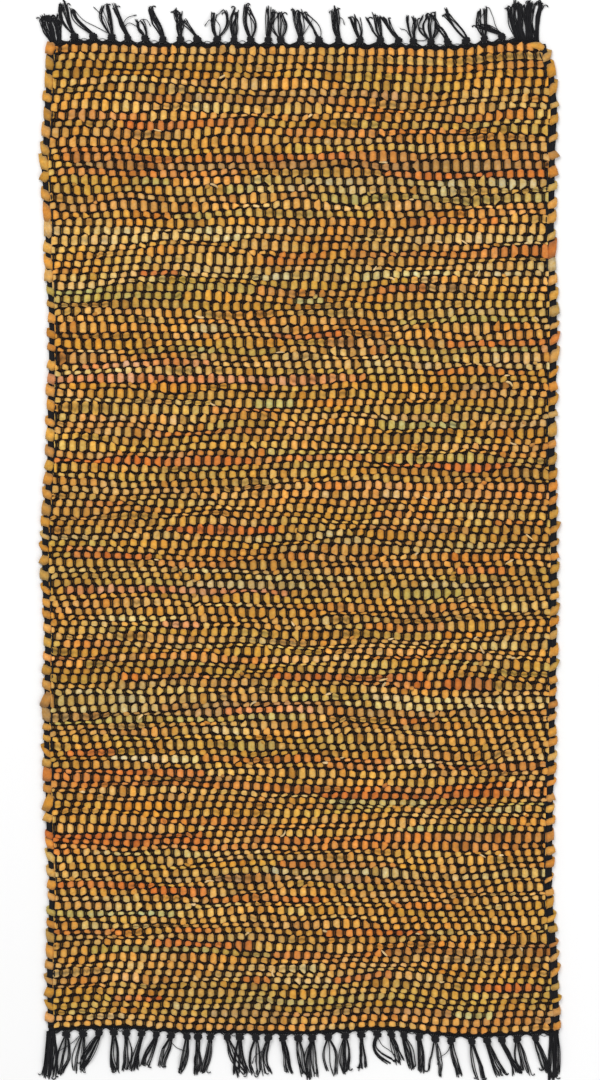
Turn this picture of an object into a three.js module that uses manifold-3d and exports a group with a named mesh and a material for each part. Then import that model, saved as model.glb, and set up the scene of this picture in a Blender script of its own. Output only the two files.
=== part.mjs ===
// A hand-woven leather rug: leather strips as weft, black cotton threads as warp, a cotton heading
// and a knotted fringe at each end. It lies flat. Millimetres, +Z up, the length along Y, the
// origin in the middle of the underside.
import * as THREE from 'three';
import Module from 'manifold-3d';
import { mergeVertices } from 'three/addons/utils/BufferGeometryUtils.js';

const wasm = await Module();
wasm.setup();

// Driving dimensions
const HALF_WIDTH = 350; // middle line to the leather turns of a selvedge, on average
const FIELD_TOP = 675.5; // where the leather picks begin, at the far end
const CREST = 6.6; // height of a leather pick
const VALLEY = 4.6; // height between two picks
const SELVEDGE = 11; // width of the bundle of warp threads at each side
const TURN_OUT = 3; // a leather turn stands out from the bundle
const TURN_RISE = 0.6; // and above the picks
const BUNDLE_HEIGHT = 5.4;
const SPANS = 6; // of each line across the leather field
const UNDER_INSET = 1.2; // the lower edge is drawn in
const HEADING_WIDTH = 7;
const HEADING_HEIGHT = 3.8;
const HEADING_GAP = 0.3; // between the leather field and the heading strip
const HEADING_SCALLOP = { atKnot: 0.8, between: -1.2, atCorner: -1 }; // how far its edge stands out

// The picks wave together, over several of them, and each a little on its own. The wave dies out
// towards each heading, where the picks follow the bow of the end line instead.
const WAVE = { height: 4.2, length: 190, picks: 6, start: 7, seed: 40 };
const JITTER = { height: 1.5, length: 75, seed: 200 };
const WAVE_FADE_PICKS = 5;
const BOW_FADE_PICKS = 20;

// Leather picks and the length that they fill, from the far end
const PICK_BANDS = [
  { picks: 24, length: 268 },
  { picks: 27, length: 273 },
  { picks: 29, length: 273 },
  { picks: 30, length: 273 },
  { picks: 28, length: 256 },
];
const PICKS = PICK_BANDS.reduce((sum, band) => sum + band.picks, 0);

// How far the two end lines bow towards the fringe (+) at the far and near end
const END_LINES = {
  top: [
    { x: -350, bow: 0 },
    { x: -300, bow: 4 },
    { x: -180, bow: 0 },
    { x: 110, bow: -1.5 },
    { x: 190, bow: -4 },
    { x: 305, bow: 5 },
    { x: 350, bow: 3 },
  ],
  bottom: [
    { x: -350, bow: -2 },
    { x: -260, bow: -6 },
    { x: -140, bow: 0 },
    { x: 0, bow: 2 },
    { x: 110, bow: -3.5 },
    { x: 230, bow: 6 },
    { x: 350, bow: 1 },
  ],
};

// How far each side stands out (+) or in (-) from HALF_WIDTH, from the far end
const SIDE_LINES = [
  { y: 674, left: -3, right: -13 },
  { y: 634, left: -1, right: -2 },
  { y: 594, left: 1, right: 2 },
  { y: 513, left: 5, right: -1 },
  { y: 410, left: 0, right: -2 },
  { y: 287, left: -5, right: 2 },
  { y: 143, left: -3, right: -1 },
  { y: -20, left: 5, right: 2 },
  { y: -143, left: 1, right: 1 },
  { y: -266, left: 2, right: -1 },
  { y: -389, left: -1, right: -4 },
  { y: -470, left: -5, right: -5 },
  { y: -594, left: -2, right: 3 },
  { y: -669, left: -3, right: 6 },
];

// Tassels from left to right: the knot's place, how far its tip leans to the right, its length
// from the heading's edge, and its locks. A wide one is a selvedge bundle's free end, without a knot.
const TASSELS = {
  top: [
    { x: -334, lean: -8, length: 33, locks: 6, wide: 16 },
    { x: -309, lean: -12, length: 48, locks: 4 },
    { x: -283, lean: -17, length: 40, locks: 4 },
    { x: -258, lean: -7, length: 46, locks: 4 },
    { x: -236, lean: -11, length: 49, locks: 4 },
    { x: -212, lean: -5, length: 30, locks: 4 },
    { x: -188, lean: -12, length: 43, locks: 4 },
    { x: -164, lean: -4, length: 43, locks: 4 },
    { x: -141, lean: -7, length: 32, locks: 3 },
    { x: -114, lean: -2, length: 42, locks: 4 },
    { x: -91, lean: 2, length: 42, locks: 4 },
    { x: -68, lean: -3, length: 47, locks: 4 },
    { x: -44, lean: 2, length: 42, locks: 4 },
    { x: -27, lean: 3, length: 38, locks: 4 },
    { x: 0, lean: -3, length: 43, locks: 4 },
    { x: 25, lean: -10, length: 39, locks: 3 },
    { x: 52, lean: -4, length: 44, locks: 4 },
    { x: 81, lean: -7, length: 36, locks: 4 },
    { x: 109, lean: -9, length: 34, locks: 4 },
    { x: 134, lean: -12, length: 37, locks: 4 },
    { x: 154, lean: -5, length: 39, locks: 4 },
    { x: 178, lean: -2, length: 42, locks: 5 },
    { x: 201, lean: -4, length: 37, locks: 3 },
    { x: 226, lean: -13, length: 42, locks: 4 },
    { x: 251, lean: -7, length: 44, locks: 4 },
    { x: 275, lean: -8, length: 42, locks: 3 },
    { x: 312, lean: -1, length: 47, locks: 8, wide: 26 },
  ],
  bottom: [
    { x: -341, lean: -3, length: 57, locks: 5, wide: 12 },
    { x: -320, lean: -4, length: 58, locks: 4 },
    { x: -297, lean: -7, length: 52, locks: 4 },
    { x: -275, lean: -17, length: 52, locks: 4 },
    { x: -255, lean: 1, length: 56, locks: 4 },
    { x: -238, lean: -1, length: 56, locks: 4 },
    { x: -217, lean: -5, length: 55, locks: 4 },
    { x: -197, lean: -9, length: 46, locks: 4 },
    { x: -177, lean: -11, length: 48, locks: 4 },
    { x: -155, lean: -7, length: 50, locks: 4 },
    { x: -140, lean: -3, length: 50, locks: 3 },
    { x: -123, lean: -6, length: 49, locks: 3 },
    { x: -100, lean: 5, length: 57, locks: 4 },
    { x: -83, lean: 7, length: 55, locks: 4 },
    { x: -61, lean: 1, length: 52, locks: 4 },
    { x: -44, lean: 2, length: 50, locks: 3 },
    { x: -24, lean: 5, length: 53, locks: 4 },
    { x: -3, lean: 6, length: 54, locks: 4 },
    { x: 16, lean: 4, length: 55, locks: 4 },
    { x: 38, lean: 2, length: 54, locks: 4 },
    { x: 61, lean: 0, length: 51, locks: 4 },
    { x: 83, lean: 2, length: 48, locks: 4 },
    { x: 105, lean: 12, length: 42, locks: 4 },
    { x: 124, lean: 14, length: 44, locks: 3 },
    { x: 141, lean: 9, length: 48, locks: 4 },
    { x: 162, lean: 5, length: 48, locks: 4 },
    { x: 184, lean: 3, length: 49, locks: 3 },
    { x: 206, lean: 8, length: 52, locks: 4 },
    { x: 234, lean: 9, length: 49, locks: 4 },
    { x: 255, lean: 14, length: 46, locks: 4 },
    { x: 275, lean: 15, length: 46, locks: 4 },
    { x: 296, lean: 8, length: 48, locks: 5 },
    { x: 321, lean: 9, length: 48, locks: 4 },
    { x: 346, lean: 0, length: 58, locks: 5, wide: 12 },
  ],
};

const LEATHER = new THREE.MeshStandardMaterial({ color: 0xd3963f, roughness: 0.75, metalness: 0 });
const COTTON = new THREE.MeshStandardMaterial({ color: 0x17171a, roughness: 0.95, metalness: 0 });

// A knot, and the bound root of a corner bundle: rings of a six-sided lump with a flat foot
const KNOT = { width: 8.2, length: 9, height: 6.8, out: 2.5 };
const CORNER_ROOT = { length: 9, height: 5.4, out: 0.5 };
const KNOT_SIDES = 6;
const KNOT_RINGS = [
  { reach: 0.85, level: 0 },
  { reach: 1, level: 0.45 },
  { reach: 0.55, level: 1 },
];

// A lock of the fringe: a three-sided strand, squeezed at its root and thinner at its tip
const LOCK = { width: 2.3, height: 2, steps: 2, rootWidth: 0.6, tipWidth: 0.7, tipHeight: 0.75 };
const LOCK_STEP = 3.6; // between the tips of a tassel's locks
const LOCK_ROOTS = { knot: 0.6, corner: 0.8 }; // how much of the root's width the locks take up
const LOCK_UNEVEN = 0.05; // of its length
const LOCK_BOW = { spread: 1.6, tassel: 1.2 }; // sideways, by its place in the tassel and at random
const TIP_GAP = 2.6; // least step from one tassel's last tip to the next one's first

// Repeatable unevenness: a hash, and value noise over it in one and two directions, from -1 to 1
function hash(a, b) {
  const s = Math.sin(a * 127.1 + b * 311.7) * 43758.5453;
  return 2 * (s - Math.floor(s)) - 1;
}

function eased(t) {
  return t * t * (3 - 2 * t);
}

function noise(u, seed) {
  const i = Math.floor(u);
  return THREE.MathUtils.lerp(hash(i, seed), hash(i + 1, seed), eased(u - i));
}

function noise2(u, v, seed) {
  const j = Math.floor(v);
  return THREE.MathUtils.lerp(noise(u, seed + j), noise(u, seed + j + 1), eased(v - j));
}

// The value of a short table's column at a place, eased between its rows
function fromTable(rows, key, place, column) {
  const ordered = [...rows].sort((a, b) => a[key] - b[key]);
  const last = ordered.length - 1;
  if (place <= ordered[0][key]) return ordered[0][column];
  if (place >= ordered[last][key]) return ordered[last][column];
  const i = ordered.findIndex((row) => row[key] > place) - 1;
  const [a, b] = [ordered[i], ordered[i + 1]];
  const t = eased((place - a[key]) / (b[key] - a[key]));
  return THREE.MathUtils.lerp(a[column], b[column], t);
}

// The line between pick `index` - 1 and pick `index`, before it waves
function plainLine(index) {
  let y = FIELD_TOP;
  let left = index;
  for (const band of PICK_BANDS) {
    const used = Math.min(left, band.picks);
    y -= (band.length / band.picks) * used;
    left -= used;
  }
  return y;
}

// The same line at x, as it really runs
function pickLine(index, x) {
  const fromEnd = Math.min(index, PICKS - index);
  const fade = eased(Math.min(1, fromEnd / WAVE_FADE_PICKS));
  const together = WAVE.height * noise2(x / WAVE.length + WAVE.start, index / WAVE.picks, WAVE.seed);
  const alone = JITTER.height * noise(x / JITTER.length, JITTER.seed + index);
  const share = (picksAway) => Math.max(0, 1 - picksAway / BOW_FADE_PICKS);
  const top = fromTable(END_LINES.top, 'x', x, 'bow') * share(index);
  const bottom = fromTable(END_LINES.bottom, 'x', x, 'bow') * share(PICKS - index);
  return plainLine(index) + (together + alone) * fade + top - bottom;
}

// A side's place at y: side is -1 on the left and 1 on the right
function sideLine(y, side) {
  return side * (HALF_WIDTH + fromTable(SIDE_LINES, 'y', y, side < 0 ? 'left' : 'right'));
}

function geometryOf(points, faces) {
  const geometry = new THREE.BufferGeometry();
  geometry.setAttribute('position', new THREE.Float32BufferAttribute(points.flat(), 3));
  geometry.setIndex(faces.flat());
  return geometry;
}

function solidOf(geometry) {
  const plain = geometry.clone();
  plain.deleteAttribute('normal');
  plain.deleteAttribute('uv');
  const merged = mergeVertices(plain, 1e-4);
  const triVerts = new Uint32Array(merged.index.array);
  const vertProperties = merged.attributes.position.array;
  return new wasm.Manifold(new wasm.Mesh({ numProp: 3, vertProperties, triVerts }));
}

function meshOf(name, solid, material) {
  const made = solid.getMesh();
  const geometry = new THREE.BufferGeometry();
  geometry.setAttribute('position', new THREE.BufferAttribute(made.vertProperties, made.numProp));
  geometry.setIndex(new THREE.BufferAttribute(made.triVerts, 1));
  const flat = geometry.toNonIndexed();
  flat.computeVertexNormals();
  const mesh = new THREE.Mesh(flat, material);
  mesh.name = name;
  return mesh;
}

// Where the lines across the rug have their points: at each side, at the inner edge of each
// selvedge bundle, and evenly between those
function stationsAcross(y) {
  const left = sideLine(y, -1);
  const right = sideLine(y, 1);
  const inner = [left + SELVEDGE, right - SELVEDGE];
  const between = SPANS - 2;
  const stations = [left];
  for (let i = 0; i <= between; i++) {
    stations.push(THREE.MathUtils.lerp(inner[0], inner[1], i / between));
  }
  stations.push(right);
  return stations;
}

function turnsOver(pick, side) {
  return (pick % 2 === 0) === side < 0;
}

// The lines of the field's upper face, low between two picks and high on each. Its sides show the
// leather turns: a pick passes over the selvedge bundle on every second row, and under it on others.
function fieldLines() {
  const lines = [];
  for (let half = 0; half <= 2 * PICKS; half++) {
    const pick = Math.floor(half / 2);
    const onCrest = half % 2 === 1;
    const middle = plainLine(half / 2);
    const xs = stationsAcross(middle);
    lines.push(xs.map((x, i) => {
      const side = i === 0 ? -1 : i === SPANS ? 1 : 0;
      const y = onCrest ? (pickLine(pick, x) + pickLine(pick + 1, x)) / 2 : pickLine(pick, x);
      if (!side) return [x, y, onCrest ? CREST : VALLEY];
      const over = onCrest && turnsOver(pick, side);
      const edge = x - (over ? 0 : side * TURN_OUT);
      const height = over ? CREST + TURN_RISE : onCrest ? BUNDLE_HEIGHT : VALLEY;
      return [edge, y, height];
    }));
  }
  return lines;
}

function fieldGeometry() {
  const lines = fieldLines();
  const across = SPANS + 1;
  const points = lines.flat();
  const faces = [];
  for (let j = 0; j + 1 < lines.length; j++) {
    for (let i = 0; i < SPANS; i++) {
      const a = j * across + i;
      const c = a + across;
      faces.push([a, c, a + 1], [a + 1, c, c + 1]);
    }
  }
  // The outline, anticlockwise seen from above: left side down, near end, right side up, far end
  const last = lines.length - 1;
  const rim = [];
  for (let j = 0; j <= last; j++) rim.push(j * across);
  for (let i = 1; i < SPANS; i++) rim.push(last * across + i);
  for (let j = last; j >= 0; j--) rim.push(j * across + SPANS);
  for (let i = SPANS - 1; i > 0; i--) rim.push(i);
  const start = points.length;
  const under = rim.map((index) => {
    const [x, y] = points[index];
    const atSide = index % across === 0 ? 1 : index % across === SPANS ? -1 : 0;
    return [x + atSide * UNDER_INSET, y, 0];
  });
  points.push(...under);
  rim.forEach((index, n) => {
    const next = (n + 1) % rim.length;
    faces.push([index, start + n, rim[next]], [rim[next], start + n, start + next]);
  });
  const contour = under.map(([x, y]) => new THREE.Vector2(x, y));
  for (const [a, b, c] of THREE.ShapeUtils.triangulateShape(contour, [])) {
    faces.push([start + a, start + c, start + b]);
  }
  return geometryOf(points, faces);
}

function knotGeometry(x, y, width, length, height) {
  const points = [];
  const faces = [];
  KNOT_RINGS.forEach(({ reach, level }, r) => {
    for (let i = 0; i < KNOT_SIDES; i++) {
      const angle = ((i + 0.5) / KNOT_SIDES) * 2 * Math.PI;
      const dx = (width / 2) * reach * Math.cos(angle);
      const dy = (length / 2) * reach * Math.sin(angle);
      points.push([x + dx, y + dy, level * height]);
      if (r === 0) continue;
      const next = (i + 1) % KNOT_SIDES;
      const [a, b] = [(r - 1) * KNOT_SIDES + i, (r - 1) * KNOT_SIDES + next];
      const [c, d] = [a + KNOT_SIDES, b + KNOT_SIDES];
      faces.push([a, b, d], [a, d, c]);
    }
  });
  const top = (KNOT_RINGS.length - 1) * KNOT_SIDES;
  for (let i = 1; i + 1 < KNOT_SIDES; i++) {
    faces.push([0, i + 1, i], [top, top + i, top + i + 1]);
  }
  return geometryOf(points, faces);
}

// A lock lies on its flat foot from root to tip
function lockGeometry(root, tip, bow) {
  const away = Math.sign(tip[1] - root[1]);
  const points = [];
  const faces = [];
  for (let j = 0; j <= LOCK.steps; j++) {
    const t = j / LOCK.steps;
    const x = THREE.MathUtils.lerp(root[0], tip[0], t) + bow * Math.sin(Math.PI * t);
    const y = THREE.MathUtils.lerp(root[1], tip[1], t);
    const width = LOCK.width * (j === 0 ? LOCK.rootWidth : THREE.MathUtils.lerp(1, LOCK.tipWidth, t));
    const height = LOCK.height * THREE.MathUtils.lerp(1, LOCK.tipHeight, t);
    points.push([x - (width / 2) * away, y, 0], [x + (width / 2) * away, y, 0], [x, y, height]);
    if (j === 0) continue;
    const [a, b] = [3 * (j - 1), 3 * j];
    for (let i = 0; i < 3; i++) {
      const n = (i + 1) % 3;
      faces.push([a + i, b + n, a + n], [a + i, b + i, b + n]);
    }
  }
  const end = 3 * LOCK.steps;
  faces.push([0, 1, 2], [end, end + 2, end + 1]);
  return geometryOf(points, faces);
}

// Where each tassel's locks end, in order from left to right, so that no two tassels touch
function tipsOf(tassels) {
  let least = -Infinity;
  return tassels.map((tassel) => {
    const step = tassel.wide ? tassel.wide / tassel.locks : LOCK_STEP;
    const spread = step * (tassel.locks - 1);
    const first = Math.max(tassel.x + tassel.lean - spread / 2, least);
    least = first + spread + TIP_GAP;
    return Array.from({ length: tassel.locks }, (_, i) => first + i * step);
  });
}

// A heading strip with its fringe: away is 1 at the far end and -1 at the near end
function fringeSolid(end) {
  const away = end === 'top' ? 1 : -1;
  const index = end === 'top' ? 0 : PICKS;
  const tassels = TASSELS[end];
  const inner = stationsAcross(plainLine(index));
  inner[0] += TURN_OUT;
  inner[SPANS] -= TURN_OUT;
  const innerEdge = inner.map((x) => [x, pickLine(index, x) + away * HEADING_GAP]);
  const edgeAt = (x) => pickLine(index, x) + away * (HEADING_GAP + HEADING_WIDTH);
  const scallop = (x, kind) => [x, edgeAt(x) + away * HEADING_SCALLOP[kind]];
  const outerEdge = [scallop(inner[SPANS], 'atCorner')];
  [...tassels].reverse().forEach((tassel, n, all) => {
    if (tassel.wide) return;
    outerEdge.push(scallop(tassel.x, 'atKnot'));
    const next = all[n + 1];
    if (!next.wide) outerEdge.push(scallop((tassel.x + next.x) / 2, 'between'));
  });
  outerEdge.push(scallop(inner[0], 'atCorner'));
  const outline = [...innerEdge, ...outerEdge].map(([x, y]) => new THREE.Vector2(x, y));
  const strip = new THREE.ExtrudeGeometry(new THREE.Shape(outline), {
    depth: HEADING_HEIGHT,
    bevelEnabled: false,
  });
  let solid = solidOf(strip);
  const tips = tipsOf(tassels);
  tassels.forEach((tassel, t) => {
    const edge = edgeAt(tassel.x);
    const form = tassel.wide ? CORNER_ROOT : KNOT;
    const width = tassel.wide ?? KNOT.width;
    const rootY = edge + away * form.out;
    solid = solid.add(solidOf(knotGeometry(tassel.x, rootY, width, form.length, form.height)));
    tips[t].forEach((tipX, i) => {
      const place = i / (tassel.locks - 1) - 0.5;
      const rootX = tassel.x + place * width * (tassel.wide ? LOCK_ROOTS.corner : LOCK_ROOTS.knot);
      const tipY = edge + away * tassel.length * (1 + LOCK_UNEVEN * hash(t, i + 9 * away));
      const bow = LOCK_BOW.spread * place + LOCK_BOW.tassel * hash(t + 50, away);
      solid = solid.add(solidOf(lockGeometry([rootX, rootY], [tipX, tipY], bow)));
    });
  });
  return solid;
}

const rug = new THREE.Group();
rug.add(
  meshOf('leather_field', solidOf(fieldGeometry()), LEATHER),
  meshOf('fringe_top', fringeSolid('top'), COTTON),
  meshOf('fringe_bottom', fringeSolid('bottom'), COTTON),
);
export default rug;
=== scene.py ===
# A hand-woven leather rug, spread flat: leather strips woven as a zigzag twill over and under black
# cotton warp threads, with a thin cotton weft between the picks, cotton headings and knotted fringes.
# The layout below is in millimetres, in the part's own frame, and meshes are made in metres.
import math

import bpy
import numpy as np
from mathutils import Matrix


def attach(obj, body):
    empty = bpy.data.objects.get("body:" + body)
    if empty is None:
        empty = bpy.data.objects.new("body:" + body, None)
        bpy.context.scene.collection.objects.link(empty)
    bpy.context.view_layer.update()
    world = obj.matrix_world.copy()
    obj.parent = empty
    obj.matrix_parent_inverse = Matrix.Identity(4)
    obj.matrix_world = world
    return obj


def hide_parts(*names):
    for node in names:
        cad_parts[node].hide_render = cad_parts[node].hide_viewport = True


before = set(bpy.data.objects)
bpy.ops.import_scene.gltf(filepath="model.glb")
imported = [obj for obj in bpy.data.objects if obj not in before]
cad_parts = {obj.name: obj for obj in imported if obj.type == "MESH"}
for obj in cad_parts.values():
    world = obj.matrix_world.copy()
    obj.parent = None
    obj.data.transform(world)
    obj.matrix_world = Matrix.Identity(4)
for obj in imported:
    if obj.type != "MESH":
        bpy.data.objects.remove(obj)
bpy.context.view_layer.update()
MM = 0.001
TURN = 2 * math.pi
TWIST_LENGTH = 2.2  # of a cotton thread, in mm
SEED = 7

# The field's layout, as the part has it
HALF_WIDTH = 350
FIELD_TOP = 675.5
SELVEDGE = 11
PICK_BANDS = [(24, 268), (27, 273), (29, 273), (30, 273), (28, 256)]  # picks, and their length
PICKS = sum(picks for picks, _ in PICK_BANDS)
WAVE = {"height": 4.2, "length": 190, "picks": 6, "start": 7, "seed": 40}
JITTER = {"height": 1.5, "length": 75, "seed": 200}
WAVE_FADE_PICKS = 5
BOW_FADE_PICKS = 20
END_LINES = {
    "top": {"x": [-350, -300, -180, 110, 190, 305, 350], "bow": [0, 4, 0, -1.5, -4, 5, 3]},
    "bottom": {"x": [-350, -260, -140, 0, 110, 230, 350], "bow": [-2, -6, 0, 2, -3.5, 6, 1]},
}
SIDE_LINES = {
    "y": [-669, -594, -470, -389, -266, -143, -20, 143, 287, 410, 513, 594, 634, 674],
    "left": [-3, -2, -5, -1, 2, 1, 5, -3, -5, 0, 5, 1, -1, -3],
    "right": [6, 3, -5, -4, -1, 1, 2, -1, 2, -2, -1, 2, -2, -13],
}
HEADING_GAP = 0.3
HEADING_WIDTH = 7

# The weave. Each leather pick passes over two warp threads and under two, and moves one thread on
# from pick to pick, so that its floats form a zigzag. A leg is a number of picks and their step.
THREADS = 196
PITCH_THREADS = 4
THREAD_DRIFT = {"reach": 1.2, "across": 110, "along": 140, "seed": 700}
ZIGZAG = [
    (12, -1), (10, 1), (11, -1), (11, 1), (12, -1), (2, 1), (10, -1), (10, 1), (10, -1), (12, 1),
    (11, -1), (14, 1), (13, -1),
]
FINE_JITTER = {"height": 3.0, "length": 60, "seed": 500}
# Zones where the picks are packed more or less tightly
FINE_PACKING = {"height": 2.8, "length": 75, "picks": 2.3, "seed": 950}
WEFT_RADIUS = 0.62
LEATHER_GAP = 0.52  # from the line between two picks to the leather
WARP_RADIUS = 0.92
WARP_OVER = 4.5
WARP_UNDER = 2.4
WARP_LEAN = 0.25
# The height of a thin dark sheet of painted shade that fills the slits between the picks
SHADE_SHEET_HEIGHT = 2.8

# A leather pick's rings over one pitch, from the middle of a gap: the place in threads, the height
# of its middle, half its thickness, its width as a share of the space, and its brightness: painted shade
# that is deepest in the gap and darker at a float's ends, where the leather dives under the warp threads
RINGS = [
    (-0.42, 1.65, 1.4, 0.84, 0.3),
    (0.42, 1.65, 1.4, 0.84, 0.3),
    (0.84, 3.9, 1.4, 0.92, 0.74),
    (1.22, 4.8, 1.65, 0.98, 1.02),
    (2.0, 5.0, 1.75, 1.02, 1.05),
    (2.78, 4.8, 1.65, 0.98, 1.02),
    (3.16, 3.9, 1.4, 0.92, 0.74),
]
# How much narrower a float's two ends are, which rounds it: the far half's floats are squarer
CORNER = {"picks": [0, 45, 75, 138], "narrower": [0.5, 0.65, 1.15, 1.2]}
LEAN = np.array([0, 0, -1.2, -1, 0, 1, 1.2])  # of each ring, where a float lies askew
SIDES = 6
SECTION_Y = np.array([0.0, 0.82, 1.0, 0.0, -1.0, -0.82])
SECTION_Z = np.array([1.0, 0.78, -0.05, -0.95, -0.05, 0.78])
# Painted shade: a strip is darker and redder towards its edges and its underside, and a painted
# highlight makes it a little paler at its near side
SECTION_SHADE = np.array([-0.1, -0.08, 0.45, 1.0, 0.55, 0.18])
FLARE = 0.3  # how much wider a float is at its near edge
EDGE_SHADE_TONE = np.array([0.84, 0.58, 0.2])
GAP_SHADE_TONE = np.array([1.0, 0.88, 0.5])
SECTION_SHADE_TONE = 1 + SECTION_SHADE[:, None] * (EDGE_SHADE_TONE - 1)
# How much the floats differ: the first four in mm, and the others as shares
UNEVEN = {
    "lift": 0.22, "slide": 0.4, "slant": 0.45, "reach": 0.3, "wide": 0.05, "taper": 0.08,
    "thick": 0.05, "corner": 0.25, "section": 0.05, "shade": 0.06, "warm": 0.03,
}
# What befalls a few floats: the share of them, and the least and the most of it
RARELY = {"tapered": (0.08, -0.4, 0.4), "swollen": (0.05, 0.8, 2.6), "dull": (0.08, 0.1, 0.4)}
CREASE = {"height": 1, "length": 55, "seed": 3000, "from": 0.5, "steepness": 2.6, "share": 0.7}

# A strip's turn round the selvedge, from over it in one pick to under it in the pick before: how far
# out it is from the selvedge's inner edge, its height, and its way towards the other pick
TURN_PATH = [
    (-3.5, 2.0, 0.0),
    (-0.4, 2.9, 0.0),
    (1.6, 5.3, 0.03),
    (4.0, 6.4, 0.12),
    (8.0, 6.2, 0.26),
    (10.2, 5.3, 0.36),
    (11.1, 3.8, 0.44),
    (10.7, 2.2, 0.55),
    (8.2, 1.1, 0.7),
    (4.0, 0.9, 0.9),
    (-0.5, 1.2, 1.0),
]
TURN_THICK = 0.72
TURN_WIDTH = {-1: (0.95, 1.75), 1: (0.9, 1.45)}  # at the left and at the right, as a share of a pick's
# How much the turns differ: the least and the most, and for their lean the mean and the spread
TURN_REACH = (-0.9, 1.5)
TURN_THICKER = (0.85, 1.25)
TURN_BRIGHTER = (0.88, 1.08)
TURN_LEAN = (0.08, 0.26)
# The first strip's end, folded over the far right corner: points, and half its width at each
CORNER_STRIP = [
    (309, 676.5, 3.6, 2.2),
    (315, 676.6, 6.6, 3.6),
    (321, 676.4, 7.1, 4.6),
    (326, 675.6, 7.0, 5.0),
    (330, 673.6, 5.8, 4.2),
    (332.5, 670.6, 3.6, 2.8),
]
CORNER_COLOUR = (222, 168, 74)
# The turn below that strip is small and lies low
SECOND_TURN = {"pick": 1, "lower": 4.5, "narrower": 0.75}
TAIL_COLOUR = (226, 204, 160)
# The turns, the corner's strip and the loose ends get a share of the section's painted shade
TURN_SHADING = 0.38  # how much of the section's tones the turns and the corner's strip have
TAIL_SHADING = 0.5  # and the strips' loose ends
BUNDLE_PLACES = [-1.7, 0.2, 2.3, 4.3, 6.2, 8.0, 9.6]  # of its threads, from its inner edge
BUNDLE_RADIUS = 1.15

# The headings: thin cotton picks, woven over and under pairs of warp threads
HEADING_YARNS = 4
HEADING_FIRST = 0.7
HEADING_STEP = 1.05
HEADING_RADIUS = 0.78
HEADING_LEVEL = 2.0
HEADING_WAVE = 0.7
HEADING_INSET = {"top": (0, 8), "bottom": (0, 0)}  # how much shorter it is at the left and at the right

# Tassels from left to right: the knot's place, how far its tips lean, its length from the heading's
# edge, its strands, how wide its tips and its middle spread, and the root's width without a knot
TASSELS = {
    "top": [
        (-334, -8, 33, 36, 27, 3, 17), (-309, -17, 47, 9, 9, -3, 0), (-283, -31, 42, 5, 7, -4, 0),
        (-258, -9, 46, 8, 10, 9, 0), (-236, -18, 49, 9, 5, -2, 0), (-212, -11, 30, 6, 16, 10, 0),
        (-188, -18, 43, 9, 11, 2, 0), (-164, -3, 43, 10, 8, 6, 0), (-141, -20, 31, 3, 3, 1, 0),
        (-114, -1, 42, 8, 24, 16, 0), (-91, 2, 42, 8, 6, 6, 0), (-68, -4, 47, 9, 13, 13, 0),
        (-44, 1, 43, 7, 10, 3, 0), (-27, -1, 40, 9, 12, 14, 0), (0, -6, 43, 9, 12, 4, 0),
        (25, -18, 40, 5, 4, 2, 0), (52, -5, 44, 10, 4, 7, 0), (81, -8, 37, 8, 18, 5, 0),
        (109, -10, 35, 9, 17, 5, 0), (134, -19, 37, 8, 6, -3, 0), (154, -3, 38, 8, 11, 3, 0),
        (178, -1, 42, 14, 22, 16, 0), (201, -14, 26, 5, 6, 2, 0), (226, -28, 42, 8, 5, 9, 0),
        (251, -5, 43, 8, 18, 3, 0), (275, -29, 20, 8, 14, 4, 0), (310, -4, 46, 60, 44, -2, 36),
    ],
    "bottom": [
        (-341, -4, 57, 22, 17, 0, 13), (-320, -9, 56, 8, 6, 7, 0), (-297, -5, 54, 7, 18, 2, 0),
        (-275, -25, 50, 9, 8, 0, 0), (-255, 1, 55, 8, 16, 6, 0), (-238, -3, 55, 7, 8, 3, 0),
        (-217, -11, 52, 8, 10, 2, 0), (-197, -16, 46, 9, 12, 4, 0), (-177, -15, 49, 6, 14, 2, 0),
        (-155, -9, 50, 7, 13, 2, 0), (-140, -2, 51, 8, 9, 5, 0), (-123, -9, 50, 6, 9, 5, 0),
        (-100, 17, 55, 6, 16, 0, 0), (-83, 0, 55, 8, 22, -2, 0), (-61, -1, 53, 7, 13, 9, 0),
        (-44, 0, 52, 6, 26, -4, 0), (-24, 8, 53, 9, 9, 3, 0), (-3, 9, 54, 6, 5, 5, 0),
        (16, -1, 56, 9, 20, 3, 0), (38, 6, 54, 6, 17, 14, 0), (61, 1, 51, 9, 11, 5, 0),
        (83, 1, 48, 8, 15, 2, 0), (105, 20, 44, 7, 5, -12, 0), (124, 14, 44, 7, 7, 2, 0),
        (141, 12, 49, 8, 8, 4, 0), (162, 3, 49, 9, 12, 5, 0), (184, 1, 49, 4, 22, 1, 0),
        (206, 11, 51, 7, 11, 2, 0), (234, 12, 52, 8, 12, 3, 0), (255, 18, 48, 9, 15, 2, 0),
        (275, 22, 48, 8, 11, 1, 0), (296, 10, 48, 9, 17, 5, 0), (321, 15, 48, 8, 9, 3, 0),
        (346, 0, 58, 20, 12, 1, 14),
    ],
}
KNOT_OUT = 2.5
KNOT_LENGTH = 8.4
KNOT_LEVEL = 4.3
KNOT_RADIUS = 4.5
KNOT_CORE = [2.6, 3.7, 4.1, 3.7, 2.7]  # the radii of the threads inside a knot
COIL_POINTS = 27
COIL_RADIUS = 1.6
STRAND_RADIUS = 0.9
STRAND_POINTS = 9
HOOK_POINTS = 6
HOOK_RADIUS = (1.2, 3.2)
HOOKED = 0.2  # the share of strands with a hooked end, and the share in the far end's corner bundles
HOOKED_AT_CORNERS = 0.5
STRAND_STEP = 1.45  # between strands side by side in a clump
MORE_STRANDS = 1.2
# The least and the most of a clump's sway: its reach, start and turn, and its unevenness and start
SWAY = [(0.4, 0, 2.5, 0.4, 0), (2.4, TURN, 5.5, 1.7, 90)]

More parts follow.
